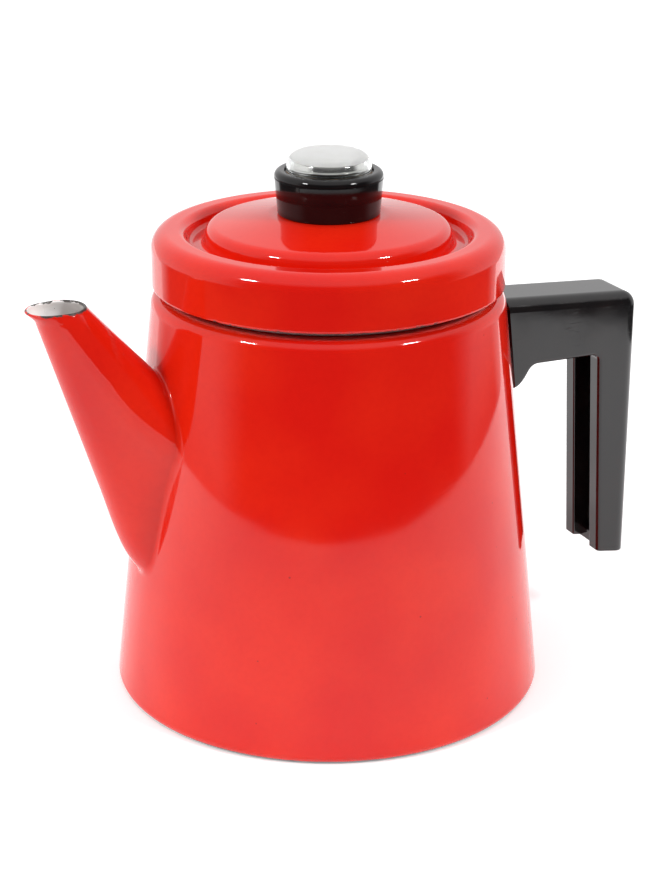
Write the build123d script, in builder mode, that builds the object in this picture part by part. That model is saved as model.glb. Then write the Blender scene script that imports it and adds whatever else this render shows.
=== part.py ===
from build123d import *
from math import cos, radians, sin, tan
import os

# Enamelled stovetop coffee percolator. Millimetres, +Z up. The origin is the centre of the
# base on the surface it stands on; +X points to the handle and -X to the spout.

# ---- driving dimensions: pot ----
base_r = 78.0            # radius of the body at the floor, before its corner is rounded
wall_taper = 0.1084      # how much the body's radius shrinks for each mm of height
pot_h = 146.7            # height of the shoulder
mouth_r = 53.0           # inner radius of the mouth
neck_depth = 11.0        # length of the turned-in neck below the shoulder
pot_t = 1.2              # steel and enamel
base_corner_r = 3.0
shoulder_r = 4.5
foot_flange_r = 70.0     # inner radius of the turned-in rim that carries the base plate
base_plate_r = 74.4
base_dish = 1.4          # how far the middle of the base plate is raised
dish_outer_r = 58.0
dish_inner_r = 54.0
neck_r = 2.5             # bend where the shoulder turns down into the neck

# ---- driving dimensions: spout ----
spout_top = 148.0        # where the straight spout ends and its pouring lip begins
rim_z = 151.8            # height of the rim at the middle of the tip
rim_x = -100.5
rim_tilt = -1.4          # degrees; the rim rises a little towards the pot
spout_root = 45.0        # lowest section, inside the body
spout_t = 1.1
ridge_datum_z = 152.0    # height at which the two ridges' positions are given
ridge_slope = 0.326      # run for each mm of fall of the outer ridge
ridge_top_x = -108.5
crown_slope = 0.910      # run for each mm of fall of the inner ridge
crown_top_x = -89.95
lip_z = 153.5            # top of the flared lip, before the rim is cut
lip_ridge_x = -113.0
lip_ridge_r = 7.8
lip_crown_x = -91.3
lip_crown_r = 8.2
strainer_hole_r = 2.5
strainer_bottom = 66.0   # height of the lowest row of holes
strainer_row_pitch = 8.0
strainer_hole_pitch = 7.5
strainer_rows = (1, 2, 3, 3, 2)

# ---- driving dimensions: lid ----
lid_r = 61.9
lid_bottom = 149.4
lid_top = 168.6
lid_t = 1.0
channel_z = 163.2        # floor of the channel round the middle of the lid
channel_outer_r = 49.0
channel_inner_r = 43.6
crown_r = 42.8           # radius of the raised middle
crown_z = 170.2
seat_z = 174.1           # flat seat under the knob
seat_r = 20.5
collar_r = 56.8
spigot_r = 52.4          # part of the collar that goes into the mouth
spigot_bottom = 134.0
rest_gap = 0.1           # between the collar's shelf and the shoulder
through_r = 12.6         # hole through the lid and the knob

# ---- driving dimensions: knob and glass ----
knob_r = 19.2             # at its top; the side leans in towards the lid
knob_foot_r = 17.9
knob_top = 189.5
knob_line_z = 187.2      # fine groove below the rounded top edge
gasket_seat = 188.0
gasket_t = 0.9
glass_r = 14.9
glass_top = 196.0
glass_t = 1.6
glass_taper = 0.4        # how much narrower the glass is at the start of its rounded top
glass_edge_r = 4.8
glass_crown = 0.5        # rise of the glass's top from that rounding to its middle
ferrule_r = 12.3
ferrule_t = 0.7
ferrule_top = 192.6
ferrule_bottom = 168.1
bead_out = 0.9           # the ferrule's bead stands on the glass's turned-in lip
bead_h = 0.7
nut_h = 3.5
nut_r = 17.5
nut_notch_r = 1.8
washer_t = 0.8

# ---- driving dimensions: handle ----
beam_top = 137.2         # at the pot end
beam_drop = 3.4          # degrees that the top slopes down towards the grip
beam_under = 111.5
handle_half_w = 12.4
handle_near_x = 66.0     # pot end of the beam, at its top
grip_outer_x = 121.3
grip_top_x = 105.0       # face towards the pot, at its top
grip_foot_x = 108.6      # and at its foot
grip_foot_z = 31.5       # on the side towards the pot
grip_foot_drop = 2.0     # how much lower the outer side of the foot is
gusset_x = 79.6          # where the beam's underside starts to curve down into the gusset
gusset_curve = ((76.4, 110.2), (74.2, 106.9), (72.0, 104.4))
hook_x = 69.8            # tip of the gusset, against the pot
hook_z = 103.2
inner_corner_r = 2.5
outer_corner_r = 5.5
outer_edge_r = 4.6       # long edges of the beam's top and of the grip's outer face
pot_edge_r = 1.5         # long edges of the grip's side towards the pot
channel_edge_r = 0.7
foot_edge_r = 0.7
channel_half_w = 5.8     # the handle is a channel, open to the pot and below
channel_roof = 127.5
channel_back_x = 115.5
channel_corner_r = 5.0
web_h = 4.0              # web across the foot of the grip
web_recess = 3.5
inside_pot_x = 60.0      # anywhere inside the pot: what reaches this far is trimmed off
tongue_t = 3.0
tongue_end = 94.0
tongue_half_w = 5.4
pad_t = 1.5
pad_bottom = 110.0
pad_top = 132.0
pad_angle = 16.0         # degrees round the pot
screw_x = (76.0, 88.0)
screw_r = 2.4
screw_head_r = 4.2
screw_head_h = 2.6
screw_top = 133.0
screw_slot_w = 1.1
screw_slot_h = 1.2
screw_play = 0.3         # clearance of the holes in the tongue and in the washers
washer_r = 4.8

# ---- driving dimensions: pump, basket and spreader ----
tube_r = 5.0
tube_bore_r = 4.0
tube_bottom = 10.0
tube_top = 158.0
foot_r = 36.0
foot_bottom = 3.9
foot_rim_top = 8.0       # the bell's upright rim
bell_top = 22.0          # where its cone meets the neck
bell_neck_top = 30.0
foot_t = 0.8
foot_hole_r = 2.2        # half-round notches that let the water in
stop_z = 86.0
stop_h = 4.0
stop_r = 8.0
slide_gap = 0.35         # clearance of the pieces that lift off
basket_r = 46.0
basket_floor = 92.0
basket_rim = 138.0
basket_flange_r = 48.5
basket_flare = 0.8       # how much wider the basket is at its rim
basket_t = 0.7
basket_hole_r = 0.9
basket_ring_r = 13.0     # the inmost ring of holes, and the step to the next
basket_ring_step = 8.5
basket_ring_counts = (10, 18, 26, 34)
basket_sleeve_top = 142.0
sleeve_t = 1.0
spreader_floor = 136.9
spreader_r = 49.0
spreader_well_r = 44.4   # the part that drops inside the basket
spreader_hole_r = 1.0
spreader_ring_r = 14.0
spreader_ring_step = 8.0
spreader_ring_counts = (12, 20, 28, 36)
spreader_grip_t = 1.5
spreader_grip_top = 147.0


def body_radius(z):
    """Outer radius of the pot's tapered wall at height z."""
    return base_r - wall_taper * z


def sheet_section(points, radii, thickness, side):
    """Section of a bent sheet on the XZ plane, drawn along one face and thickened to one side."""
    with BuildSketch(Plane.XZ) as section:
        with BuildLine():
            FilletPolyline(*points, radius=radii)
            offset(amount=thickness, side=side)
        make_face()
    return section.sketch


def ring_section(inner_r, outer_r, low, high):
    """Rectangular section of a ring on the XZ plane."""
    with BuildSketch(Plane.XZ) as section:
        with BuildLine():
            Polyline((inner_r, low), (outer_r, low), (outer_r, high), (inner_r, high), close=True)
        make_face()
    return section.sketch


def spout_section(z, ridge_x, ridge_r, crown_x, crown_section_r):
    """Level section of the spout: two circles, joined by their common tangents."""
    with BuildSketch(Plane.XY.offset(z)) as section:
        with Locations((ridge_x + ridge_r, 0)):
            Circle(ridge_r)
        with Locations((crown_x - crown_section_r, 0)):
            Circle(crown_section_r)
        make_hull()
    return section.sketch


def spout_sections(thinner):
    """The spout's level sections, from inside the body up to the lip, each drawn in by thinner."""
    # height, radius of the outer ridge, radius of the inner ridge, and how far the ridge is tucked in
    shape = (
        (spout_root, 7.0, 19.0, 8.0),
        (53.0, 8.5, 19.2, 2.4),
        (63.0, 10.0, 19.5, 0.0),
        (85.0, 11.3, 19.3, 0.0),
        (107.0, 11.0, 18.6, 0.0),
        (128.0, 10.2, 14.5, 0.0),
        (spout_top, 9.4, 10.1, 0.0),
    )
    sections = []
    for z, ridge_r, crown_section_r, tuck in shape:
        ridge_x = ridge_top_x + (ridge_datum_z - z) * ridge_slope + tuck + thinner
        crown_x = crown_top_x + (ridge_datum_z - z) * crown_slope - thinner
        sections.append(spout_section(z, ridge_x, ridge_r - thinner, crown_x, crown_section_r - thinner))
    return sections


def lip_sections(thinner):
    """The pouring lip's two level sections: it flares outwards, away from the pot."""
    low = spout_sections(thinner)[-1]
    ridge_x = lip_ridge_x + thinner
    crown_x = lip_crown_x - thinner
    high = spout_section(lip_z, ridge_x, lip_ridge_r - thinner, crown_x, lip_crown_r - thinner)
    return [low, high]


def on_outer_side(edge):
    """Whether an edge of the handle runs along the beam's top, round its corner or down the grip."""
    middle = edge.center()
    top_of_beam = middle.Z > beam_top - 8 and middle.X > handle_near_x + 1
    back_of_grip = middle.X > grip_outer_x - 8 and middle.Z > grip_foot_z + 5
    return top_of_beam or back_of_grip


def on_grip(edge):
    """Whether an edge of the handle is one of the grip's long ones."""
    return edge.length > 60 and edge.center().X > grip_top_x - 1 and edge.center().Z < beam_under


def on_channel_wall(edge):
    """Whether an edge of the handle lies on a wall of its channel."""
    return abs(abs(edge.center().Y) - channel_half_w) < 0.01


def save(builder, name):
    """Labels a finished piece and writes it."""
    builder.part.label = name
    export_step(builder.part, f"parts/{name}.step")


os.makedirs("parts", exist_ok=True)

# ---- pot: tapered wall with its rounded shoulder and turned-in neck and foot ----
pot_outline = (
    (foot_flange_r, 0),
    (base_r, 0),
    (body_radius(pot_h), pot_h),
    (mouth_r, pot_h),
    (mouth_r, pot_h - neck_depth),
)
with BuildPart() as pot_wall:
    revolve(sheet_section(pot_outline, [base_corner_r, shoulder_r, neck_r], pot_t, Side.LEFT), axis=Axis.Z)
    for row, count in enumerate(strainer_rows):
        with BuildSketch(Plane.YZ.offset(-base_r)):
            with Locations((0, strainer_bottom + strainer_row_pitch * row)):
                with GridLocations(strainer_hole_pitch, 1, count, 1):
                    Circle(strainer_hole_r)
        extrude(amount=base_r / 4, mode=Mode.SUBTRACT)
save(pot_wall, "pot_wall")

# ---- base plate: dished disc on the turned-in foot of the wall ----
with BuildPart() as base_plate:
    plate_outline = (
        (base_plate_r, pot_t),
        (dish_outer_r, pot_t),
        (dish_inner_r, pot_t + base_dish),
        (0, pot_t + base_dish),
    )
    revolve(sheet_section(plate_outline, [4.0, 4.0], pot_t, Side.RIGHT), axis=Axis.Z)
save(base_plate, "base_plate")

# ---- the space inside the outer face of the wall, to trim what is welded on ----
with BuildPart() as body_envelope:
    with BuildSketch(Plane.XZ):
        with BuildLine():
            Polyline((0, 0), (base_r, 0), (body_radius(pot_h), pot_h), (0, pot_h), close=True)
        make_face()
    revolve(axis=Axis.Z)

# ---- spout: tapered tube cut level at its tip, with a flared pouring lip ----
rim_plane = Plane(
    origin=(rim_x, 0, rim_z),
    x_dir=(cos(radians(rim_tilt)), 0, -sin(radians(rim_tilt))),
    z_dir=(sin(radians(rim_tilt)), 0, cos(radians(rim_tilt))),
)
with BuildPart() as spout:
    loft(spout_sections(0))
    loft(lip_sections(0))
    loft(spout_sections(spout_t), mode=Mode.SUBTRACT)
    loft(lip_sections(spout_t), mode=Mode.SUBTRACT)
    split(bisect_by=rim_plane, keep=Keep.BOTTOM)
    add(body_envelope.part, mode=Mode.SUBTRACT)
save(spout, "spout")

# ---- handle bracket: pad welded to the wall, and a tongue that goes into the handle ----
tongue_top = channel_roof
with BuildPart() as handle_bracket:
    with BuildSketch(Plane.XZ) as pad_section:
        with BuildLine():
            Polyline(
                (body_radius(pad_bottom), pad_bottom),
                (body_radius(pad_bottom) + pad_t, pad_bottom),
                (body_radius(pad_top) + pad_t, pad_top),
                (body_radius(pad_top), pad_top),
                close=True,
            )
        make_face()
    revolve(axis=Axis.Z, revolution_arc=pad_angle)
    add(handle_bracket.part.rotate(Axis.Z, -pad_angle / 2), mode=Mode.REPLACE)
    with BuildSketch(Plane.XY.offset(tongue_top - tongue_t)):
        with Locations(((inside_pot_x + tongue_end) / 2, 0)):
            RectangleRounded(tongue_end - inside_pot_x, 2 * tongue_half_w, 2.0)
        with Locations((screw_x[0], 0), (screw_x[1], 0)):
            Circle(screw_r + screw_play, mode=Mode.SUBTRACT)
    extrude(amount=tongue_t)
    add(body_envelope.part, mode=Mode.SUBTRACT)
save(handle_bracket, "handle_bracket")

# ---- handle: moulded channel, its beam level and its grip hanging down ----
grip_top_z = beam_top - (grip_outer_x - handle_near_x) * tan(radians(beam_drop))
below_grip_z = grip_foot_z - grip_foot_drop - 1
with BuildPart() as handle:
    with BuildSketch(Plane.XZ) as side_view:
        with BuildLine():
            FilletPolyline(
                (handle_near_x, beam_top),
                (grip_outer_x, grip_top_z),
                (grip_outer_x, grip_foot_z - grip_foot_drop),
                radius=outer_corner_r,
            )
            Line((grip_outer_x, grip_foot_z - grip_foot_drop), (grip_foot_x, grip_foot_z))
            FilletPolyline(
                (grip_foot_x, grip_foot_z),
                (grip_top_x, beam_under),
                (gusset_x, beam_under),
                radius=inner_corner_r,
            )
            Spline(
                (gusset_x, beam_under),
                *gusset_curve,
                (hook_x, hook_z),
                tangents=[(-1, 0), (-1, -0.4)],
            )
            Line((hook_x, hook_z), (handle_near_x, beam_top))
        make_face()
    extrude(amount=handle_half_w, both=True)
    side_edges = handle.faces().filter_by(Axis.Y).edges()
    fillet(side_edges.filter_by(on_outer_side), radius=outer_edge_r)
    grip_edges = handle.edges().filter_by(on_grip)
    fillet(grip_edges.filter_by(lambda edge: edge.center().X < grip_foot_x), radius=pot_edge_r)
    foot_face = handle.faces().sort_by(Axis.Z)[0]
    fillet(foot_face.edges(), radius=foot_edge_r)
    with BuildSketch(Plane.XZ) as channel_view:
        with BuildLine():
            FilletPolyline(
                (inside_pot_x, channel_roof),
                (channel_back_x, channel_roof),
                (channel_back_x, grip_foot_z + web_h),
                (grip_foot_x + web_recess, grip_foot_z + web_h),
                (grip_foot_x + web_recess, below_grip_z),
                radius=[channel_corner_r, 0.8, 1.2],
            )
            Polyline(
                (grip_foot_x + web_recess, below_grip_z),
                (inside_pot_x, below_grip_z),
                (inside_pot_x, channel_roof),
            )
        make_face()
    extrude(amount=channel_half_w, both=True, mode=Mode.SUBTRACT)
    mouth_edges = handle.edges().filter_by(on_grip).filter_by(on_channel_wall)
    fillet(mouth_edges.filter_by(lambda edge: edge.center().X < grip_foot_x), radius=channel_edge_r)
    for x in screw_x:
        with BuildSketch(Plane.XY.offset(channel_roof)):
            with Locations((x, 0)):
                Circle(screw_r + 0.05)
        extrude(amount=screw_top + 0.5 - channel_roof, mode=Mode.SUBTRACT)
save(handle, "handle")

# ---- two screws and their washers, from below through the tongue into the handle ----
washer_top = tongue_top - tongue_t
with BuildPart() as handle_washers:
    with BuildSketch(Plane.XY.offset(washer_top)):
        with Locations((screw_x[0], 0), (screw_x[1], 0)):
            Circle(washer_r)
            Circle(screw_r + screw_play, mode=Mode.SUBTRACT)
    extrude(amount=-washer_t)
save(handle_washers, "handle_washers")

head_top = washer_top - washer_t
with BuildPart() as handle_screws:
    with BuildSketch(Plane.XY.offset(head_top)):
        with Locations((screw_x[0], 0), (screw_x[1], 0)):
            Circle(screw_r)
    extrude(amount=screw_top - head_top)
    with BuildSketch(Plane.XY.offset(head_top)):
        with Locations((screw_x[0], 0), (screw_x[1], 0)):
            Circle(screw_head_r)
    extrude(amount=-screw_head_h)
    fillet(handle_screws.faces().group_by(Axis.Z)[0].edges(), radius=0.9)
    with BuildSketch(Plane.XY.offset(head_top - screw_head_h)):
        with Locations((screw_x[0], 0), (screw_x[1], 0)):
            Rectangle(2 * screw_head_r, screw_slot_w)
    extrude(amount=screw_slot_h, mode=Mode.SUBTRACT)
save(handle_screws, "handle_screws")

# ---- lid shell: rolled rim, channel and raised middle with a flat seat for the knob ----
lid_outline = (
    (lid_r, lid_bottom),
    (lid_r, lid_top),
    (channel_outer_r + 1.2, lid_top),
    (channel_outer_r, channel_z),
    (channel_inner_r, channel_z),
    (crown_r, crown_z),
    (seat_r, seat_z),
    (through_r, seat_z),
)
with BuildPart() as lid_shell:
    lid_radii = [5.8, 3.2, 2.0, 1.4, 4.0, 12.0]
    revolve(sheet_section(lid_outline, lid_radii, lid_t, Side.LEFT), axis=Axis.Z)
save(lid_shell, "lid_shell")

# ---- lid collar: flange under the channel, shelf on the shoulder, spigot in the mouth ----
shelf_z = pot_h + rest_gap
flange_z = channel_z - lid_t
collar_outline = (
    (channel_inner_r + 0.9, flange_z),
    (collar_r, flange_z),
    (collar_r, shelf_z),
    (spigot_r, shelf_z),
    (spigot_r, spigot_bottom),
)
with BuildPart() as lid_collar:
    revolve(sheet_section(collar_outline, [2.0, 1.5, 1.0], lid_t, Side.RIGHT), axis=Axis.Z)
save(lid_collar, "lid_collar")

# ---- knob: moulded ring with a seat for the gasket in its top ----
knob_line_r = knob_foot_r + (knob_r - knob_foot_r) * (knob_line_z - seat_z) / (knob_top - seat_z)
with BuildPart() as knob_ring:
    with BuildSketch(Plane.XZ):
        with BuildLine():
            FilletPolyline(
                (through_r, seat_z),
                (knob_foot_r, seat_z),
                (knob_r, knob_top),
                (glass_r + 0.6, knob_top),
                (glass_r + 0.5, gasket_seat),
                (through_r, gasket_seat),
                radius=[0.7, 2.2, 0.4, 0.3],
            )
            Line((through_r, gasket_seat), (through_r, seat_z))
        make_face()
        with Locations((knob_line_r, knob_line_z)):
            Rectangle(0.7, 0.4, mode=Mode.SUBTRACT)
    revolve(axis=Axis.Z)
save(knob_ring, "knob_ring")

# ---- gasket under the glass ----
glass_foot = gasket_seat + gasket_t
with BuildPart() as glass_gasket:
    revolve(ring_section(through_r, glass_r, gasket_seat, glass_foot), axis=Axis.Z)
    fillet(glass_gasket.edges().sort_by(Axis.Z)[-2:], radius=0.25)
save(glass_gasket, "glass_gasket")

# ---- viewing glass: low hollow dome with a lip turned in at its foot ----
lip_top = glass_foot + 1.2
inner_r = glass_r - glass_t
inner_top = glass_top - glass_t
with BuildPart() as viewing_glass:
    with BuildSketch(Plane.XZ):
        with BuildLine():
            FilletPolyline(
                (glass_r, glass_foot),
                (glass_r - glass_taper, glass_top - glass_crown),
                (0, glass_top),
                radius=glass_edge_r,
            )
            Polyline((0, glass_top), (0, glass_foot), (glass_r, glass_foot))
        make_face()
        with BuildLine():
            FilletPolyline(
                (inner_r, lip_top),
                (inner_r - glass_taper, inner_top - glass_crown),
                (0, inner_top),
                radius=glass_edge_r - glass_t,
            )
            Polyline((0, inner_top), (0, glass_foot - 1), (through_r, glass_foot - 1))
            Polyline((through_r, glass_foot - 1), (through_r, lip_top), (inner_r, lip_top))
        make_face(mode=Mode.SUBTRACT)
    revolve(axis=Axis.Z)
save(viewing_glass, "viewing_glass")

# ---- ferrule: bright sleeve through the glass, knob and lid; its bead clamps the glass ----
with BuildPart() as glass_ferrule:
    revolve(ring_section(ferrule_r - ferrule_t, ferrule_r, ferrule_bottom, ferrule_top), axis=Axis.Z)
    revolve(ring_section(ferrule_r, ferrule_r + bead_out, lip_top, lip_top + bead_h), axis=Axis.Z)
    fillet(glass_ferrule.edges().sort_by(Axis.Z)[-2:], radius=0.3)
save(glass_ferrule, "glass_ferrule")

# ---- washer and ring nut that pull the ferrule down, under the lid ----
under_seat = seat_z - lid_t
with BuildPart() as ferrule_washer:
    revolve(ring_section(through_r, nut_r + 1, under_seat - washer_t, under_seat), axis=Axis.Z)
save(ferrule_washer, "ferrule_washer")

nut_top = under_seat - washer_t
with BuildPart() as ferrule_nut:
    revolve(ring_section(ferrule_r, nut_r, nut_top - nut_h, nut_top), axis=Axis.Z)
    with BuildSketch(Plane.XY.offset(nut_top - nut_h)):
        with PolarLocations(nut_r, 6):
            Circle(nut_notch_r)
    extrude(amount=nut_h, mode=Mode.SUBTRACT)
save(ferrule_nut, "ferrule_nut")

# ---- pump: bell-shaped foot, riser tube and the collar that the basket stands on ----
with BuildPart() as pump_foot:
    bell_outline = (
        (foot_r, foot_bottom),
        (foot_r, foot_rim_top),
        (tube_r + foot_t, bell_top),
        (tube_r + foot_t, bell_neck_top),
    )
    revolve(sheet_section(bell_outline, [2.5, 3.0], foot_t, Side.LEFT), axis=Axis.Z)
    for angle in (0, 60, 120):
        with BuildSketch(Plane.XZ.rotated((0, 0, angle))):
            with Locations((0, foot_bottom)):
                Circle(foot_hole_r)
        extrude(amount=foot_r + 1, both=True, mode=Mode.SUBTRACT)
save(pump_foot, "pump_foot")

with BuildPart() as pump_tube:
    revolve(ring_section(tube_bore_r, tube_r, tube_bottom, tube_top), axis=Axis.Z)
    fillet(pump_tube.edges().sort_by(Axis.Z)[-2:], radius=0.3)
save(pump_tube, "pump_tube")

with BuildPart() as basket_stop:
    revolve(ring_section(tube_r, stop_r, stop_z, stop_z + stop_h), axis=Axis.Z)
    fillet(basket_stop.edges().filter_by(GeomType.CIRCLE).sort_by(SortBy.RADIUS)[-2:], radius=0.8)
save(basket_stop, "basket_stop")

# ---- basket: perforated cup on its own sleeve, which slides on the riser tube ----
sleeve_bore = tube_r + slide_gap
sleeve_r = sleeve_bore + sleeve_t
with BuildPart() as basket_sleeve:
    sleeve_bottom = stop_z + stop_h + 0.1
    revolve(ring_section(sleeve_bore, sleeve_r, sleeve_bottom, basket_sleeve_top), axis=Axis.Z)
save(basket_sleeve, "basket_sleeve")

with BuildPart() as coffee_basket:
    cup_outline = (
        (sleeve_r, basket_floor),
        (basket_r, basket_floor),
        (basket_r + basket_flare, basket_rim + basket_t),
    )
    revolve(sheet_section(cup_outline, [3.0], basket_t, Side.LEFT), axis=Axis.Z)
    rim_inner_r = basket_r + basket_flare / 2
    revolve(ring_section(rim_inner_r, basket_flange_r, basket_rim, basket_rim + basket_t), axis=Axis.Z)
    for ring, count in enumerate(basket_ring_counts):
        with BuildSketch(Plane.XY.offset(basket_floor - 0.5)):
            with PolarLocations(basket_ring_r + basket_ring_step * ring, count):
                Circle(basket_hole_r)
        extrude(amount=basket_t + 1, mode=Mode.SUBTRACT)
save(coffee_basket, "coffee_basket")

# ---- spreader: perforated plate that lies on the basket's rim, with a finger collar ----
spreader_bore = sleeve_r + slide_gap
grip_r = spreader_bore + spreader_grip_t
with BuildPart() as spreader_plate:
    plate_outline = (
        (spreader_r, basket_rim + basket_t + 0.1),
        (spreader_well_r + 0.8, basket_rim + basket_t + 0.1),
        (spreader_well_r, spreader_floor),
        (spreader_bore, spreader_floor),
    )
    revolve(sheet_section(plate_outline, [0.8, 0.8], basket_t, Side.RIGHT), axis=Axis.Z)
    for ring, count in enumerate(spreader_ring_counts):
        with BuildSketch(Plane.XY.offset(spreader_floor - 0.5)):
            with PolarLocations(spreader_ring_r + spreader_ring_step * ring, count):
                Circle(spreader_hole_r)
        extrude(amount=basket_t + 1, mode=Mode.SUBTRACT)
save(spreader_plate, "spreader_plate")

with BuildPart() as spreader_grip:
    grip_bottom = spreader_floor + basket_t
    revolve(ring_section(spreader_bore, grip_r, grip_bottom, spreader_grip_top), axis=Axis.Z)
    fillet(spreader_grip.edges().sort_by(Axis.Z)[-1:], radius=0.5)
save(spreader_grip, "spreader_grip")
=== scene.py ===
from math import acos, cos, hypot, pi, radians, sin, tan

import bpy
from mathutils import Matrix, Vector


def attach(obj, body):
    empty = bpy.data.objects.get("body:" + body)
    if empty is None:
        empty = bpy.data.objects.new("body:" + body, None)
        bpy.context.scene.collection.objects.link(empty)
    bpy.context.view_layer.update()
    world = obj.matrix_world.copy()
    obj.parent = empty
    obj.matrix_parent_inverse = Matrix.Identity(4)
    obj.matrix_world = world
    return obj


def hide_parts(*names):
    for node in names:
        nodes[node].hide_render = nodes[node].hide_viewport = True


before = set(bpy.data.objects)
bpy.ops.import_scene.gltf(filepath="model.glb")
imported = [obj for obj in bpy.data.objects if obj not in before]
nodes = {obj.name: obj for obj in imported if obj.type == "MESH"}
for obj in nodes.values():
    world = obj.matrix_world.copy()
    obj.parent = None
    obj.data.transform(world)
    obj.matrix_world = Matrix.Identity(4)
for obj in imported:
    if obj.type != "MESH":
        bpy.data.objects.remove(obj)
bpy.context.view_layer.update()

MM = 0.001
collection = bpy.context.scene.collection


# ---------------------------------------------------------------- materials

class Shader:
    """A material's node tree, with short ways to add the nodes that the finishes share."""

    def __init__(self, name):
        self.material = bpy.data.materials.new(name)
        self.material.use_nodes = True
        self.tree = self.material.node_tree
        self.bsdf = self.tree.nodes["Principled BSDF"]
        self.coords = self.node("ShaderNodeTexCoord").outputs["Object"]

    def node(self, kind, **settings):
        made = self.tree.nodes.new(kind)
        for key, value in settings.items():
            setattr(made, key, value)
        return made

    def link(self, source, target):
        self.tree.links.new(source, target)

    def noise(self, size, detail=2.0, stretch=(1, 1, 1), rough=0.5):
        """Noise whose features are about size millimetres, stretched along the axes."""
        mapping = self.node("ShaderNodeMapping")
        mapping.inputs["Scale"].default_value = [1.0 / (size * MM * s) for s in stretch]
        self.link(self.coords, mapping.inputs["Vector"])
        made = self.node("ShaderNodeTexNoise")
        made.inputs["Scale"].default_value = 1.0
        made.inputs["Detail"].default_value = detail
        made.inputs["Roughness"].default_value = rough
        self.link(mapping.outputs["Vector"], made.inputs["Vector"])
        return made.outputs["Fac"]

    def specks(self, size, radius):
        """1 in small round specks, about size millimetres apart and radius times that in radius."""
        mapping = self.node("ShaderNodeMapping")
        mapping.inputs["Scale"].default_value = [1.0 / (size * MM)] * 3
        self.link(self.coords, mapping.inputs["Vector"])
        cells = self.node("ShaderNodeTexVoronoi")
        cells.inputs["Scale"].default_value = 1.0
        self.link(mapping.outputs["Vector"], cells.inputs["Vector"])
        return self.ramp(cells.outputs["Distance"], radius, radius * 0.6)

    def ramp(self, value, start, end, low=0.0, high=1.0):
        """value mapped from start..end to low..high, and held there."""
        made = self.node("ShaderNodeMapRange")
        made.inputs["From Min"].default_value = start
        made.inputs["From Max"].default_value = end
        made.inputs["To Min"].default_value = low
        made.inputs["To Max"].default_value = high
        self.link(value, made.inputs["Value"])
        return made.outputs["Result"]

    def math(self, kind, a, b=0.0):
        made = self.node("ShaderNodeMath", operation=kind)
        for socket, value in zip(made.inputs, (a, b)):
            if isinstance(value, (int, float)):
                socket.default_value = value
            else:
                self.link(value, socket)
        return made.outputs[0]

    def place(self):
        """The x socket in metres and the height in millimetres."""
        parts = self.node("ShaderNodeSeparateXYZ")
        self.link(self.coords, parts.inputs[0])
        x, _, z = parts.outputs
        return x, self.math("MULTIPLY", z, 1000.0)

    def along(self, vector):
        """How far a point lies along a direction, in metres."""
        made = self.node("ShaderNodeVectorMath", operation="DOT_PRODUCT")
        self.link(self.coords, made.inputs[0])
        made.inputs[1].default_value = vector
        return made.outputs["Value"]

    def mix(self, factor, first, second):
        """first where factor is 0 and second where it is 1. Either may be a colour or a socket."""
        made = self.node("ShaderNodeMix", data_type="RGBA")
        self.link(factor, made.inputs["Factor"])
        for socket, value in ((made.inputs["A"], first), (made.inputs["B"], second)):
            if isinstance(value, tuple):
                colour_socket(made, socket.name).default_value = (*value, 1)
            else:
                self.link(value, colour_socket(made, socket.name))
        return [o for o in made.outputs if o.type == "RGBA"][0]

    def bump(self, *layers):
        """Bump of several heights: each layer is (socket, depth in millimetres)."""
        normal = None
        for height, depth in layers:
            made = self.node("ShaderNodeBump")
            made.inputs["Strength"].default_value = 1.0
            made.inputs["Distance"].default_value = depth * MM
            self.link(height, made.inputs["Height"])
            if normal is not None:
                self.link(normal, made.inputs["Normal"])
            normal = made.outputs["Normal"]
        self.link(normal, self.bsdf.inputs["Normal"])

    def set(self, **values):
        for key, value in values.items():
            socket = self.bsdf.inputs[key.replace("_", " ")]
            if isinstance(value, tuple):
                socket.default_value = (*value, 1)
            elif isinstance(value, (int, float)):
                socket.default_value = value
            else:
                self.link(value, socket)


def colour_socket(node, name):
    """The colour input of a Mix node by that name."""
    return [i for i in node.inputs if i.name == name and i.type == "RGBA"][0]


def red_enamel(name, worn):
    """Glossy orange-red glass enamel. worn gives the mask of the places coloured as bare steel: chips on
    lid and spout, and a band along the pot's foot.
    """
    s = Shader(name)
    flow = s.noise(38.0, 1.5)
    fine = s.noise(2.2, 2.0)
    colour = s.mix(s.ramp(flow, 0.35, 0.65), (0.670, 0.0075, 0.0030), (0.740, 0.0165, 0.0040))
    colour = s.mix(s.ramp(fine, 0.40, 0.70, 0.0, 0.10), colour, (0.540, 0.003, 0.002))
    pits = s.math("MULTIPLY", s.specks(9.0, 0.045), s.ramp(s.noise(30.0, 1.0), 0.50, 0.58))
    colour = s.mix(s.math("MULTIPLY", pits, 0.7), colour, (0.120, 0.006, 0.004))
    bare = worn(s)
    steel = s.mix(s.ramp(s.noise(0.9, 3.0), 0.4, 0.6), (0.018, 0.014, 0.013), (0.070, 0.055, 0.048))
    s.set(Base_Color=s.mix(bare, colour, steel))
    smears = s.ramp(s.noise(26.0, 4.0, (1, 1, 0.5)), 0.35, 0.75, 0.045, 0.085)
    s.set(Roughness=s.math("ADD", smears, s.math("MULTIPLY", bare, 0.40)))
    s.set(IOR=1.44)
    s.bump((flow, 0.060), (s.noise(7.0, 1.0), 0.0045), (fine, 0.0009), (pits, -0.02), (bare, -0.05))
    return s.material


def pot_foot_band(s):
    """A steel-coloured band along the bottom 1.15 to 1.45 mm of the wall, with an uneven top edge."""
    _, z = s.place()
    edge = s.math("ADD", z, s.math("MULTIPLY", s.noise(5.0, 3.0), 1.1))
    return s.ramp(edge, 1.45, 1.15)


def lid_wear(s):
    """The lid's lower edge is bare in small places."""
    _, z = s.place()
    low = s.ramp(z, 150.3, 149.7)
    return s.math("MULTIPLY", low, s.ramp(s.noise(3.5, 3.0), 0.60, 0.66))


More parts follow.
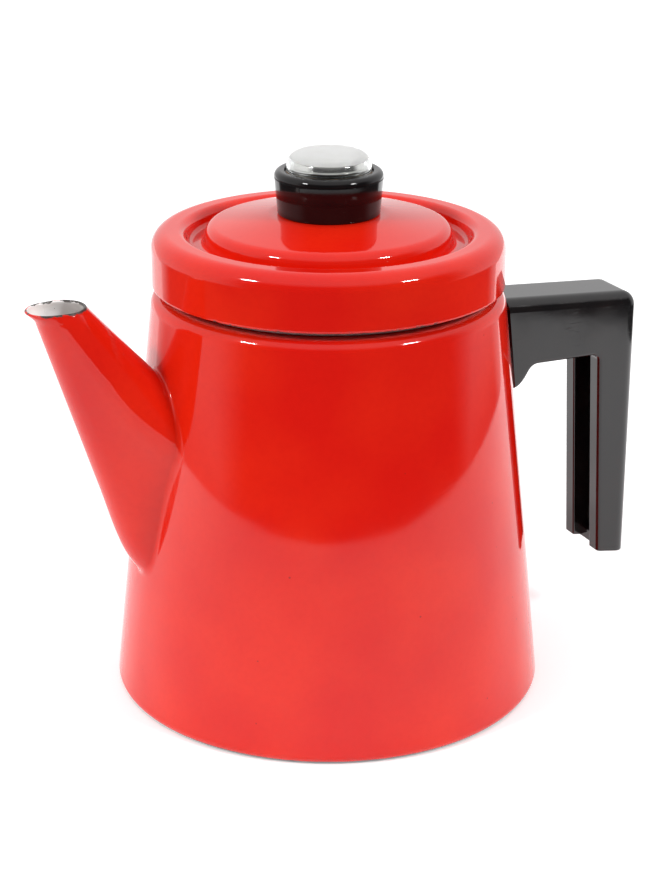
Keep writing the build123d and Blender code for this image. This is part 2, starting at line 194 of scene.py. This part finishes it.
def spout_wear(s):
    """The pouring rim is chipped to the steel, most of all where it faces the pot."""
    x, z = s.place()
    drop = s.math("MULTIPLY", s.math("ADD", x, -RIM_X * MM), 1000.0 * tan(radians(RIM_TILT)))
    above = s.math("ADD", s.math("ADD", z, -RIM_Z), drop)
    side = s.ramp(x, -0.108, -0.092, 0.0, 0.16)
    height = s.ramp(above, -1.1, 0.0, -0.12, 0.13)
    chips = s.math("ADD", s.math("ADD", s.noise(2.6, 3.0), side), height)
    return s.math("MULTIPLY", s.ramp(above, -1.2, -0.4), s.ramp(chips, 0.595, 0.625))


def white_enamel(name, rim=False):
    """The off-white enamel inside, a little stained by coffee."""
    s = Shader(name)
    stain = s.noise(14.0, 4.0)
    colour = s.mix(s.ramp(stain, 0.42, 0.80), (0.985, 0.960, 0.945), (0.860, 0.790, 0.720))
    specks = s.math("MULTIPLY", s.specks(3.2, 0.07), 0.75)
    colour = s.mix(specks, colour, (0.150, 0.105, 0.075))
    bare = spout_wear(s) if rim else s.specks(19.0, 0.03)
    s.set(Base_Color=s.mix(bare, colour, (0.045, 0.036, 0.032)))
    s.set(Roughness=s.ramp(stain, 0.3, 0.7, 0.10, 0.22), IOR=1.52)
    s.bump((s.noise(9.0, 1.0), 0.008), (s.noise(1.6, 2.0), 0.0015), (bare, -0.04))
    return s.material


def dark_enamel(name):
    """Black enamel under the pot, dulled and greyed by the hob."""
    s = Shader(name)
    scorch = s.noise(16.0, 5.0)
    colour = s.mix(s.ramp(scorch, 0.40, 0.66), (0.022, 0.020, 0.020), (0.085, 0.070, 0.060))
    scratches = s.ramp(s.noise(1.1, 2.0, (14, 1, 1)), 0.62, 0.68)
    s.set(Base_Color=s.mix(s.math("MULTIPLY", scratches, 0.5), colour, (0.17, 0.16, 0.15)))
    s.set(Roughness=s.ramp(scorch, 0.35, 0.65, 0.30, 0.60))
    s.bump((scorch, 0.05), (scratches, -0.01))
    return s.material


def bakelite(name, ior):
    """Polished black phenolic moulding, slightly scuffed, with faint browner swirls at random."""
    s = Shader(name)
    swirl = s.noise(11.0, 4.0)
    colour = s.mix(s.ramp(swirl, 0.35, 0.70), (0.0045, 0.0036, 0.0042), (0.0085, 0.0062, 0.0062))
    scuffs = s.ramp(s.noise(0.55, 3.0, (9, 9, 1)), 0.64, 0.72)
    across = s.ramp(s.noise(0.5, 3.0, (1, 9, 9)), 0.66, 0.72)
    scratch = s.math("MAXIMUM", scuffs, across)
    patches = s.ramp(s.noise(17.0, 3.0), 0.48, 0.66)
    scratch = s.math("MULTIPLY", scratch, patches)
    s.set(Base_Color=s.mix(s.math("MULTIPLY", scratch, 0.20), colour, (0.060, 0.052, 0.050)))
    worn = s.ramp(s.noise(13.0, 4.0), 0.35, 0.70, 0.05, 0.11)
    s.set(Roughness=s.math("ADD", worn, s.math("MULTIPLY", scratch, 0.12)), IOR=ior)
    s.bump((s.noise(12.0, 1.0), 0.012), (s.noise(1.1, 2.0), 0.0010), (scratch, -0.003))
    return s.material


def glass(name):
    """Clear pressed glass with a faint ripple and a few fingermarks."""
    s = Shader(name)
    marks = s.ramp(s.noise(7.0, 4.0), 0.45, 0.75, 0.0, 1.0)
    s.set(Base_Color=s.mix(marks, (0.965, 0.980, 0.975), (0.930, 0.945, 0.935)))
    s.set(Roughness=s.ramp(marks, 0.0, 1.0, 0.01, 0.06), IOR=1.50, Transmission_Weight=1.0)
    s.bump((s.noise(5.0, 1.0), 0.012))
    return s.material


def painted_light_glass(name):
    """The inside of the glass's top: a pale matt skin, painted light that stands in for the bright room
    seen through the clear glass.
    """
    s = Shader(name)
    skin_noise = s.noise(4.0, 4.0)
    s.set(Base_Color=s.mix(s.ramp(skin_noise, 0.3, 0.7), (0.985, 0.980, 0.970), (0.960, 0.955, 0.935)))
    s.set(Roughness=s.ramp(skin_noise, 0.3, 0.7, 0.45, 0.60), IOR=1.50)
    s.bump((s.noise(0.8, 3.0), 0.004))
    return s.material


def metal(name, light, dark, rough, grain=(1, 1, 1), stain=None, size=9.0):
    """Bare metal: light and dark are its two tones, grain stretches its brushing."""
    s = Shader(name)
    cloud = s.noise(size, 4.0)
    brush = s.noise(0.35, 3.0, grain)
    colour = s.mix(s.ramp(cloud, 0.35, 0.70), light, dark)
    if stain is not None:
        where = s.ramp(s.noise(13.0, 5.0, rough=0.6), 0.52, 0.72)
        colour = s.mix(s.math("MULTIPLY", where, 0.6), colour, stain)
    s.set(Base_Color=colour, Metallic=1.0)
    low, high = rough
    brushed = s.ramp(brush, 0.3, 0.7, -0.03, 0.05)
    s.set(Roughness=s.math("ADD", s.ramp(cloud, 0.3, 0.7, low, high), brushed))
    s.bump((s.noise(6.0, 1.0), 0.006), (brush, 0.0016))
    return s.material


def dull(name, first, second, rough, size, grain=(1, 1, 1)):
    """Rubber and fibre: matt, with a fine grain."""
    s = Shader(name)
    cloud = s.noise(size, 4.0)
    s.set(Base_Color=s.mix(s.ramp(cloud, 0.35, 0.65), first, second))
    s.set(Roughness=s.ramp(cloud, 0.3, 0.7, rough - 0.08, rough + 0.08))
    s.bump((s.noise(0.5, 3.0, grain), 0.012), (cloud, 0.01))
    return s.material


# ---------------------------------------------------------------- turned shapes

def turned_path(points, radii, arc_step=5.0, longest=7.0):
    """A path of straight runs with rounded corners, as (r, z, nr, nz), the normal to its left."""
    radii = [0.0] + list(radii) + [0.0]
    radii += [0.0] * (len(points) - len(radii))
    path = []
    at = Vector(points[0])
    for i in range(1, len(points)):
        corner = Vector(points[i])
        along = (corner - Vector(points[i - 1])).normalized()
        left = Vector((-along.y, along.x))
        last = i == len(points) - 1
        turn, cut = 0.0, 0.0
        if not last and radii[i] > 0:
            onward = (Vector(points[i + 1]) - corner).normalized()
            turn = acos(max(-1.0, min(1.0, along.dot(onward))))
            cut = radii[i] * tan(turn / 2)
        end = corner - along * cut
        length = (end - at).length
        near = min(0.3, length / 3)
        stops = [0.0, near]
        middle = max(1, round((length - 2 * near) / longest))
        stops += [near + (length - 2 * near) * k / middle for k in range(1, middle)]
        stops += [length - near, length]
        for stop in stops:
            p = at + along * stop
            path.append((p.x, p.y, left.x, left.y))
        if turn > 0:
            side = 1.0 if along.x * onward.y - along.y * onward.x > 0 else -1.0
            centre = end + left * side * radii[i]
            steps = max(2, round(turn * 180 / pi / arc_step))
            for k in range(1, steps):
                a = side * turn * k / steps
                n = Vector((left.x * cos(a) - left.y * sin(a), left.x * sin(a) + left.y * cos(a)))
                p = centre - n * side * radii[i]
                path.append((p.x, p.y, n.x, n.y))
            at = corner + onward * cut
        else:
            at = end
    return path


def sheet_loop(path, thickness, round_start=False, round_end=False):
    """The closed section of a sheet: the path, then back along its left side. Returns (r, z, skin)."""
    loop = [(r, z, 0) for r, z, nr, nz in path]
    half = thickness / 2
    if round_end:
        r, z, nr, nz = path[-1]
        loop += [edge_point(r, z, nr, nz, half, a, 1) for a in (36, 72, 108, 144)]
    loop += [(r + nr * thickness, z + nz * thickness, 1) for r, z, nr, nz in reversed(path)]
    if round_start:
        r, z, nr, nz = path[0]
        loop += [edge_point(r, z, nr, nz, half, 180 - a, -1) for a in (36, 72, 108, 144)]
    return loop


def edge_point(r, z, nr, nz, half, angle, way):
    """A point on the half-round edge of a sheet whose outer face ends at (r, z)."""
    a = radians(angle)
    tr, tz = nz * way, -nr * way
    side = half * (1 - cos(a))
    return (r + nr * side + tr * half * sin(a), z + nz * side + tz * half * sin(a), 0)


def drop_repeats(loop):
    kept = []
    for point in loop:
        if not kept or hypot(point[0] - kept[-1][0], point[1] - kept[-1][1]) > 1e-4:
            kept.append(point)
    return kept


def make_object(name, verts, faces, indices, materials, sharp=38.0):
    """A smooth mesh object in metres from points in millimetres."""
    mesh = bpy.data.meshes.new(name)
    mesh.from_pydata([(x * MM, y * MM, z * MM) for x, y, z in verts], [], faces)
    for material in materials:
        mesh.materials.append(material)
    mesh.polygons.foreach_set("material_index", indices)
    mesh.polygons.foreach_set("use_smooth", [True] * len(faces))
    mesh.set_sharp_from_angle(angle=radians(sharp))
    mesh.update()
    made = bpy.data.objects.new(name, mesh)
    collection.objects.link(made)
    return made


def turn(name, loop, materials, segments=192):
    """Turns a closed section (r, z, material) about the pot's axis."""
    loop = drop_repeats(loop)
    verts, rows = [], []
    for r, z, skin in loop:
        count = 1 if r < 1e-6 else segments
        rows.append((len(verts), count))
        for k in range(count):
            a = 2 * pi * k / segments
            verts.append((r * cos(a), r * sin(a), z))
    faces, indices = [], []
    for i, (r, z, skin) in enumerate(loop):
        j = (i + 1) % len(loop)
        (first, n_first), (second, n_second) = rows[i], rows[j]
        if n_first == 1 and n_second == 1:
            continue
        for k in range(segments):
            m = (k + 1) % segments
            quad = [first + k % n_first, first + m % n_first]
            quad += [second + m % n_second, second + k % n_second]
            face = []
            for v in quad:
                if v not in face:
                    face.append(v)
            faces.append(face)
            indices.append(min(skin, loop[j][2]) if len(materials) > 1 else 0)
    return make_object(name, verts, faces, indices, materials)


def stand_for(piece, body, *names):
    """The piece rides on the body and is shown in place of the CAD nodes."""
    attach(piece, body)
    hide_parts(*names)
    return piece


# ---------------------------------------------------------------- the pot's wall

BASE_R, TAPER, POT_H = 78.0, 0.1084, 146.7
POT_T = 1.2
RIM_X, RIM_Z, RIM_TILT = -100.5, 151.8, -1.4


def body_radius(z):
    return BASE_R - TAPER * z


red_pot = red_enamel("red_enamel_pot", pot_foot_band)
red_lid = red_enamel("red_enamel_lid", lid_wear)
red_spout = red_enamel("red_enamel_spout", spout_wear)
white_inside = white_enamel("white_enamel_inside")
white_spout = white_enamel("white_enamel_spout", rim=True)
black = bakelite("black_bakelite", 1.58)
black_knob = bakelite("black_bakelite_knob", 1.40)
clear = glass("clear_glass")
painted_light_skin = painted_light_glass("painted_light_glass")
bright = metal("bright_plate", (0.83, 0.82, 0.80), (0.74, 0.72, 0.70), (0.05, 0.12), (1, 1, 9))
# the ferrule's inner wall: the same plating made rougher and given a lighter colour, painted light that
# makes the wall look bright under the glass
satin_lightened = metal("satin_plate_lightened", (0.88, 0.87, 0.85), (0.80, 0.78, 0.76), (0.38, 0.48), (1, 1, 9))
zinc = metal(
    "dull_zinc",
    (0.56, 0.55, 0.53),
    (0.40, 0.39, 0.37),
    (0.30, 0.45),
    (1, 1, 1),
    (0.30, 0.24, 0.18),
)
alu = metal(
    "spun_aluminium",
    (0.78, 0.78, 0.77),
    (0.66, 0.65, 0.63),
    (0.24, 0.36),
    (1, 1, 7),
    (0.42, 0.31, 0.20),
)
rubber = dull("amber_gasket", (0.26, 0.15, 0.07), (0.17, 0.10, 0.05), 0.55, 3.0)
fibre = dull("red_fibre", (0.22, 0.055, 0.035), (0.15, 0.04, 0.03), 0.65, 2.0, (6, 6, 1))
scorched = dark_enamel("base_enamel")

wall_points = [(70.0, 0), (BASE_R, 0), (body_radius(POT_H), POT_H), (53.0, POT_H), (53.0, POT_H - 11.0)]
wall_loop = sheet_loop(turned_path(wall_points, [3.0, 4.5, 2.5]), POT_T)
wall = turn("wall_enamelled", wall_loop, [red_pot, white_inside], segments=224)

# the strainer: five rows of holes behind the spout
HOLE_R, HOLE_SIDES = 2.5, 28
HOLE_PITCH, ROW_PITCH, FIRST_ROW_Z = 7.5, 8.0, 66.0
cut_verts, cut_faces = [], []
for row, count in enumerate((1, 2, 3, 3, 2)):
    for k in range(count):
        y0, z0 = (k - (count - 1) / 2) * HOLE_PITCH, FIRST_ROW_Z + ROW_PITCH * row
        start = len(cut_verts)
        for x in (-84.0, -58.0):
            for step in range(HOLE_SIDES):
                a = 2 * pi * step / HOLE_SIDES
                cut_verts.append((x, y0 + HOLE_R * cos(a), z0 + HOLE_R * sin(a)))
        for step in range(HOLE_SIDES):
            nxt = (step + 1) % HOLE_SIDES
            far, far_nxt = start + HOLE_SIDES + step, start + HOLE_SIDES + nxt
            cut_faces.append([start + step, far, far_nxt, start + nxt])
        cut_faces.append([start + step for step in range(HOLE_SIDES)])
        cut_faces.append([start + HOLE_SIDES + step for step in reversed(range(HOLE_SIDES))])
cutter = make_object("cutter", cut_verts, cut_faces, [1] * len(cut_faces), [red_pot, white_inside])
cut = wall.modifiers.new("strainer", "BOOLEAN")
cut.operation = "DIFFERENCE"
cut.object = cutter
cut.solver = "EXACT"
bpy.context.view_layer.update()
whole = wall.data
depsgraph = bpy.context.evaluated_depsgraph_get()
pierced = bpy.data.meshes.new_from_object(wall.evaluated_get(depsgraph))
wall.modifiers.clear()
wall.data = pierced
pierced.name = "wall_enamelled"
pierced.set_sharp_from_angle(angle=radians(38))
bpy.data.meshes.remove(whole)
bpy.data.objects.remove(cutter)
stand_for(wall, "pot", "pot_wall")


# ---------------------------------------------------------------- the spout

SPOUT_T = 1.1
DATUM_Z = 152.0
RIDGE_TOP_X, RIDGE_SLOPE = -108.5, 0.326
CROWN_TOP_X, CROWN_SLOPE = -89.95, 0.910
SPOUT_LOW, SPOUT_MID, SPOUT_TOP = 45.0, 140.0, 153.4
# height, ridge x, ridge radius, crown x, crown radius of the level sections
SECTIONS = []
for z, ridge_r, crown_r, tuck in (
    (45.0, 7.0, 19.0, 8.0),
    (53.0, 8.5, 19.2, 2.4),
    (63.0, 10.0, 19.5, 0.0),
    (85.0, 11.3, 19.3, 0.0),
    (107.0, 11.0, 18.6, 0.0),
    (128.0, 10.2, 14.5, 0.0),
    (148.0, 9.4, 10.1, 0.0),
):
    ridge_x = RIDGE_TOP_X + (DATUM_Z - z) * RIDGE_SLOPE + tuck
    crown_x = CROWN_TOP_X + (DATUM_Z - z) * CROWN_SLOPE
    SECTIONS.append((z, ridge_x, ridge_r, crown_x, crown_r))
SECTIONS.append((153.5, -113.0, 7.8, -91.3, 8.2))


def section_at(z):
    """The spout's section values at height z, smooth between the given ones."""
    last = len(SECTIONS) - 2
    if z >= SECTIONS[last][0]:
        i = last
    else:
        i = max(k for k in range(last) if SECTIONS[k][0] <= z or k == 0)
    low, high = SECTIONS[i], SECTIONS[i + 1]
    t = (z - low[0]) / (high[0] - low[0])
    if i == last:
        return [a + (b - a) * t for a, b in zip(low[1:], high[1:])]
    before = SECTIONS[max(i - 1, 0)]
    after = SECTIONS[min(i + 2, last)]
    values = []
    for a, b, c, d in zip(before[1:], low[1:], high[1:], after[1:]):
        m0 = (c - a) / (high[0] - before[0]) if high[0] > before[0] else 0.0
        m1 = (d - b) / (after[0] - low[0])
        if i == 0:
            m0 = (c - b) / (high[0] - low[0])
        if i == last - 1:
            m1 = (c - b) / (high[0] - low[0])
        span = high[0] - low[0]
        values.append(
            (2 * t**3 - 3 * t**2 + 1) * b
            + (t**3 - 2 * t**2 + t) * span * m0
            + (-2 * t**3 + 3 * t**2) * c
            + (t**3 - t**2) * span * m1
        )
    return values


RIDGE_STEPS, SIDE_STEPS, CROWN_STEPS = 30, 16, 34
COLUMNS = RIDGE_STEPS + CROWN_STEPS + 2 * SIDE_STEPS


def spout_point(column, z, thinner=0.0):
    """A point of the spout's skin: its column round the tube, at height z."""
    ridge_x, ridge_r, crown_x, crown_r = section_at(z)
    r1, r2 = ridge_r - thinner, crown_r - thinner
    x1, x2 = ridge_x + ridge_r, crown_x - crown_r
    gap = max(x2 - x1, 1e-6)
    tangent = acos(max(-0.999, min(0.999, (r1 - r2) / gap)))
    if column < RIDGE_STEPS:
        a = tangent + (2 * pi - 2 * tangent) * column / RIDGE_STEPS
        return Vector((x1 + r1 * cos(a), r1 * sin(a), z))
    column -= RIDGE_STEPS
    start = Vector((x1 + r1 * cos(tangent), -r1 * sin(tangent), z))
    stop = Vector((x2 + r2 * cos(tangent), -r2 * sin(tangent), z))
    if column < SIDE_STEPS:
        return start.lerp(stop, column / SIDE_STEPS)
    column -= SIDE_STEPS
    if column < CROWN_STEPS:
        a = -tangent + 2 * tangent * column / CROWN_STEPS
        return Vector((x2 + r2 * cos(a), r2 * sin(a), z))
    column -= CROWN_STEPS
    mirror = Vector((1, -1, 1))
    return (stop * mirror).lerp(start * mirror, column / SIDE_STEPS)


def meet(column, thinner, clearance, low, high):
    """The height at which a column reaches a surface: clearance(point) changes sign there."""
    for _ in range(40):
        middle = (low + high) / 2
        if clearance(spout_point(column, middle, thinner)) > 0:
            high = middle
        else:
            low = middle
    return (low + high) / 2


def off_body(sunk):
    return lambda p: hypot(p.x, p.y) - body_radius(p.z) + sunk


def over_rim(p):
    half = SPOUT_T / 2
    return sin(radians(RIM_TILT)) * (p.x - RIM_X) + cos(radians(RIM_TILT)) * (p.z - RIM_Z) + half


LEVELS = 72
SUNK = 0.35             # how far the spout's foot goes into the wall


def spout_line(column, thinner):
    """A column's points from the wall up to the pouring rim."""
    low = meet(column, thinner, off_body(SUNK), SPOUT_LOW, SPOUT_MID)
    high = meet(column, thinner, over_rim, SPOUT_MID, SPOUT_TOP)
    return [spout_point(column, low + (high - low) * k / LEVELS, thinner) for k in range(LEVELS + 1)]


spout_verts, spout_faces, spout_skin = [], [], []
rim_up = Vector((sin(radians(RIM_TILT)), 0, cos(radians(RIM_TILT))))
rim_arc = [radians(a) for a in (22.5, 45, 67.5, 90, 112.5, 135, 157.5)]
rows_per_column = 2 * (LEVELS + 1) + len(rim_arc)
for column in range(COLUMNS):
    outer = spout_line(column, 0.0)
    inner = spout_line(column, SPOUT_T)
    middle, half = (outer[-1] + inner[-1]) / 2, (outer[-1] - inner[-1]) / 2
    edge = [middle + half * cos(a) + rim_up * half.length * sin(a) for a in rim_arc]
    spout_verts += outer + edge + inner[::-1]
for column in range(COLUMNS):
    here, there = column * rows_per_column, (column + 1) % COLUMNS * rows_per_column
    for k in range(rows_per_column):
        m = (k + 1) % rows_per_column
        spout_faces.append([here + k, there + k, there + m, here + m])
        white = LEVELS + 1 + len(rim_arc) // 2 + 1 <= k < rows_per_column - 1
        spout_skin.append(1 if white else 0)
spout = make_object("spout_enamelled", spout_verts, spout_faces, spout_skin, [red_spout, white_spout], 50.0)
stand_for(spout, "pot", "spout")

# the weld between spout and wall, flooded with enamel
FILLET = 2.3
feet = []
for column in range(COLUMNS):
    z = meet(column, 0.0, off_body(0.0), SPOUT_LOW, SPOUT_MID)
    feet.append((z, spout_point(column, z)))
centre = sum((p for z, p in feet), Vector()) / COLUMNS
weld_verts, weld_faces = [], []
ARC = 10
for column in range(COLUMNS):
    z, foot = feet[column]
    ahead, behind = feet[(column + 1) % COLUMNS][1], feet[column - 1][1]
    up = z
    while (spout_point(column, up) - foot).length < FILLET:
        up += 0.05
    on_spout = spout_point(column, up)
    outward = Vector((foot.x, foot.y, TAPER * hypot(foot.x, foot.y))).normalized()
    away = (ahead - behind).cross(outward).normalized()
    if away.dot(foot - centre) < 0:
        away = -away
    on_body = foot + away * FILLET
    stretch = (body_radius(on_body.z) - 0.02) / hypot(on_body.x, on_body.y)
    on_body = Vector((on_body.x * stretch, on_body.y * stretch, on_body.z))
    tube_axis = Vector(((section_at(up)[0] + section_at(up)[2]) / 2, 0, up))
    on_spout = on_spout + (tube_axis - on_spout).normalized() * 0.02
    for k in range(ARC + 1):
        t = k / ARC
        weld_verts.append(on_spout * (1 - t) ** 2 + foot * 2 * t * (1 - t) + on_body * t**2)
    weld_verts.append(foot - outward * 0.5)
ring = ARC + 2
for column in range(COLUMNS):
    here, there = column * ring, (column + 1) % COLUMNS * ring
    for k in range(ring):
        m = (k + 1) % ring
        weld_faces.append([here + k, there + k, there + m, here + m])
weld = make_object("spout_weld", weld_verts, weld_faces, [0] * len(weld_faces), [red_spout], 50.0)
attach(weld, "pot")


# ---------------------------------------------------------------- lid, knob and glass

BORE_R, SEAT_Z = 12.6, 174.1    # the hole through lid and knob, and the knob's seat
LID_R, LID_TOP = 61.9, 168.6
GLASS_SEAT_Z = 188.9
lid_points = [
    (LID_R, 149.9),
    (LID_R, LID_TOP),
    (50.2, LID_TOP),
    (49.0, 163.2),
    (43.6, 163.2),
    (42.8, 170.2),
    (20.5, SEAT_Z),
    (BORE_R, SEAT_Z),
]
lid_path = turned_path(lid_points, [5.8, 3.2, 2.0, 1.4, 4.0, 12.0])
lid = turn("lid_enamelled", sheet_loop(lid_path, 1.0, round_start=True), [red_lid, white_inside])
stand_for(lid, "lid", "lid_shell")

KNOB_TOP, GASKET_Z = 189.5, 188.0
knob_points = [
    (BORE_R, SEAT_Z),
    (17.9, SEAT_Z),
    (18.97, 186.80),
    (18.68, 186.88),
    (18.68, 187.12),
    (19.00, 187.20),
    (19.15, KNOB_TOP),
    (15.5, KNOB_TOP),
    (15.4, GASKET_Z),
    (BORE_R, GASKET_Z),
]
knob_path = turned_path(knob_points, [0.7, 0.06, 0.0, 0.0, 0.06, 2.1, 0.4, 0.3])
knob = turn("knob_moulded", [(r, z, 0) for r, z, nr, nz in knob_path], [black_knob], segments=144)
stand_for(knob, "lid", "knob_ring")

SKIN_FOOT_Z = 192.6
dome_points = [(14.6, GLASS_SEAT_Z), (14.9, 189.2), (14.5, 195.5), (0, 196.0)]
hollow_points = [(0, 194.4), (12.9, 193.9), (13.3, 190.1), (BORE_R, 190.1), (BORE_R, GLASS_SEAT_Z)]
dome = turned_path(dome_points, [0.0, 4.8])
hollow = turned_path(hollow_points, [3.2, 0.0, 0.2])
glass_loop = [(max(r, 0.0), z, 0) for r, z, nr, nz in dome]
# the hollow's top gets the pale skin: painted light for the bright room seen through the glass
glass_loop += [(max(r, 0.0), z, 1 if z > SKIN_FOOT_Z else 0) for r, z, nr, nz in hollow]
viewer = turn("glass_dome", glass_loop, [clear, painted_light_skin], segments=144)
stand_for(viewer, "lid", "viewing_glass")

SLEEVE_INNER_R, SLEEVE_OUTER_R, SLEEVE_FOOT_Z = 11.6, 12.3, 168.1
sleeve_points = [
    (SLEEVE_INNER_R, SLEEVE_FOOT_Z),
    (SLEEVE_OUTER_R, SLEEVE_FOOT_Z),
    (SLEEVE_OUTER_R, 190.15),
    (13.1, 190.15),
    (13.1, 190.75),
    (12.35, 190.8),
    (11.75, 192.6),
    (11.15, 192.6),
    (SLEEVE_INNER_R, 190.5),
    (SLEEVE_INNER_R, SLEEVE_FOOT_Z),
]
sleeve = turned_path(sleeve_points, [0.1, 0.0, 0.2, 0.25, 0.2, 0.25, 0.25, 2.0])
# the inner wall takes the lighter plating, painted light
sleeve_loop = [(r, z, 1 if r < SLEEVE_INNER_R + 0.02 else 0) for r, z, nr, nz in sleeve[:-1]]
ferrule = turn("ferrule_spun", sleeve_loop, [bright, satin_lightened], segments=144)
stand_for(ferrule, "lid", "glass_ferrule")


# ---------------------------------------------------------------- finishes of the CAD nodes

finishes = {
    "base_plate": scorched,
    "handle_bracket": red_pot,
    "handle": black,
    "handle_washers": zinc,
    "handle_screws": zinc,
    "pump_foot": alu,
    "pump_tube": alu,
    "basket_stop": alu,
    "coffee_basket": alu,
    "basket_sleeve": alu,
    "spreader_plate": alu,
    "spreader_grip": alu,
    "lid_collar": white_inside,
    "glass_gasket": rubber,
    "ferrule_washer": fibre,
    "ferrule_nut": zinc,
}
for name, finish in finishes.items():
    mesh = nodes[name].data
    mesh.materials.clear()
    mesh.materials.append(finish)


# ---------------------------------------------------------------- floor, light and camera

AZIMUTH, ELEVATION, DISTANCE, ROLL = radians(-24.7), radians(20.49), 0.780, 0.004
FOCAL_PIXELS, IMAGE_HEIGHT = 2161.3, 880
look_at = Vector((0.00064, -0.00029, 0.0897))

out = Vector((sin(AZIMUTH) * cos(ELEVATION), -cos(AZIMUTH) * cos(ELEVATION), sin(ELEVATION)))
right = Vector((cos(AZIMUTH), sin(AZIMUTH), 0))
up = out.cross(right)
rolled_right = right * cos(ROLL) + up * sin(ROLL)
rolled_up = out.cross(rolled_right)
camera_data = bpy.data.cameras.new("camera")
camera_data.lens = FOCAL_PIXELS * 36 / IMAGE_HEIGHT
camera_data.sensor_width = 36
camera = bpy.data.objects.new("camera", camera_data)
turned = Matrix((rolled_right, rolled_up, out)).transposed().to_4x4()
camera.matrix_world = Matrix.Translation(look_at + out * DISTANCE) @ turned
collection.objects.link(camera)
bpy.context.scene.camera = camera
bpy.context.scene.view_settings.view_transform = "Standard"

# the floor: a pale sheet that goes on behind the pot and ends a forearm's length in front and beside it
FLOOR_NEAR, FLOOR_FAR = 0.48, 3.0
FLOOR_TURN, FLOOR_SPREAD = 126, 24     # where the edge starts to run back, in degrees from the front
FLOOR_GLOW = 0.26
DARK_TURN = radians(16)                # the dark part of the room lies a little right of the camera
front = Vector((out.x, out.y, 0)).normalized()
side = Vector((-front.y, front.x, 0))
floor_verts = []
for angle in range(0, 360, 4):
    off = min(angle, 360 - angle)
    share = max(0.0, min(1.0, (off - FLOOR_TURN) / FLOOR_SPREAD))
    reach = FLOOR_NEAR + (FLOOR_FAR - FLOOR_NEAR) * share**2
    p = (front * cos(radians(angle)) + side * sin(radians(angle))) * reach
    floor_verts.append((p.x * 1000, p.y * 1000, -0.2))
paper = Shader("floor_paper")
tone = paper.noise(180.0, 2.0)
pale = paper.mix(paper.ramp(tone, 0.3, 0.7), (0.905, 0.900, 0.905), (0.925, 0.922, 0.925))
paper.set(Base_Color=pale, Roughness=0.85)
dark_way = (front * cos(DARK_TURN) + side * sin(DARK_TURN)).normalized()
dark_side = Vector((-dark_way.y, dark_way.x, 0))
# the floor's glow is painted light: its emission is strongest on the flanks beside the pot, weaker ahead of
# it towards the dark side of the room, and dimmed again towards the front edge
ahead_of_pot = paper.along(dark_way)
flanks = paper.ramp(paper.math("ABSOLUTE", paper.along(dark_side)), 0.20, 0.70)
flanks = paper.math("MULTIPLY", flanks, paper.ramp(ahead_of_pot, 0.20, -0.20, 0.15, 1.0))
floor_painted_light = paper.math("ADD", flanks, FLOOR_GLOW)
near = paper.ramp(paper.along(front), 0.12, 0.34, 0.0, FLOOR_GLOW)
paper.set(Emission_Color=(1.0, 0.995, 1.0), Emission_Strength=paper.math("SUBTRACT", floor_painted_light, near))
paper.bump((paper.noise(1.5, 3.0), 0.02))
floor = make_object("floor", floor_verts, [list(range(len(floor_verts)))], [0], [paper.material])


def softbox(name, azimuth, elevation, distance, width, height, power):
    """An area light on the camera's side of the pot; azimuth is measured from the camera's."""
    a = radians(azimuth)
    flat = front * cos(a) + side * sin(a)
    aim = Vector((0, 0, 0.12))
    raised = radians(elevation)
    where = aim + (flat * cos(raised) + Vector((0, 0, sin(raised)))) * distance
    data = bpy.data.lights.new(name, "AREA")
    data.shape = "RECTANGLE"
    data.size, data.size_y = width, height
    data.energy = power
    lamp = bpy.data.objects.new(name, data)
    lamp.location = where
    lamp.rotation_euler = (where - aim).to_track_quat("Z", "Y").to_euler()
    collection.objects.link(lamp)


softbox("softbox_left", -56, 36, 1.5, 0.24, 0.11, 9.0)
softbox("softbox_right", 58, 36, 1.5, 0.24, 0.11, 9.0)

# the room
world = bpy.data.worlds.new("studio")
bpy.context.scene.world = world
world.use_nodes = True
tree = world.node_tree
background = tree.nodes["Background"]
direction = tree.nodes.new("ShaderNodeTexCoord").outputs["Generated"]


def world_math(kind, a, b=0.0):
    made = tree.nodes.new("ShaderNodeMath")
    made.operation = kind
    for socket, value in zip(made.inputs, (a, b)):
        if isinstance(value, (int, float)):
            socket.default_value = value
        else:
            tree.links.new(value, socket)
    return made.outputs[0]


def world_ramp(value, start, end, low=0.0, high=1.0):
    made = tree.nodes.new("ShaderNodeMapRange")
    made.interpolation_type = "SMOOTHSTEP"
    for key, number in (("From Min", start), ("From Max", end), ("To Min", low), ("To Max", high)):
        made.inputs[key].default_value = number
    tree.links.new(value, made.inputs["Value"])
    return made.outputs["Result"]


def toward(vector):
    made = tree.nodes.new("ShaderNodeVectorMath")
    made.operation = "DOT_PRODUCT"
    tree.links.new(direction, made.inputs[0])
    made.inputs[1].default_value = vector
    return made.outputs["Value"]


# white behind the pot, at its sides and overhead;
# dark on the camera's side and below the floor's edge
height_up = toward((0, 0, 1))
ahead = world_math("MULTIPLY", world_ramp(toward(dark_way), -0.05, 0.45), world_ramp(height_up, 0.75, 0.40))
under_edge = world_ramp(height_up, -0.16, -0.26)
below = world_math("MULTIPLY", under_edge, world_ramp(toward(front), -0.72, -0.52))
dark = world_math("MAXIMUM", ahead, below)
value = world_math("SUBTRACT", 1.0, world_math("MULTIPLY", dark, 0.90))
combine = tree.nodes.new("ShaderNodeCombineColor")
for channel, tint in (("Red", 1.0), ("Green", 0.995), ("Blue", 1.0)):
    tree.links.new(world_math("MULTIPLY", value, tint), combine.inputs[channel])
tree.links.new(combine.outputs["Color"], background.inputs["Color"])
background.inputs["Strength"].default_value = 0.97
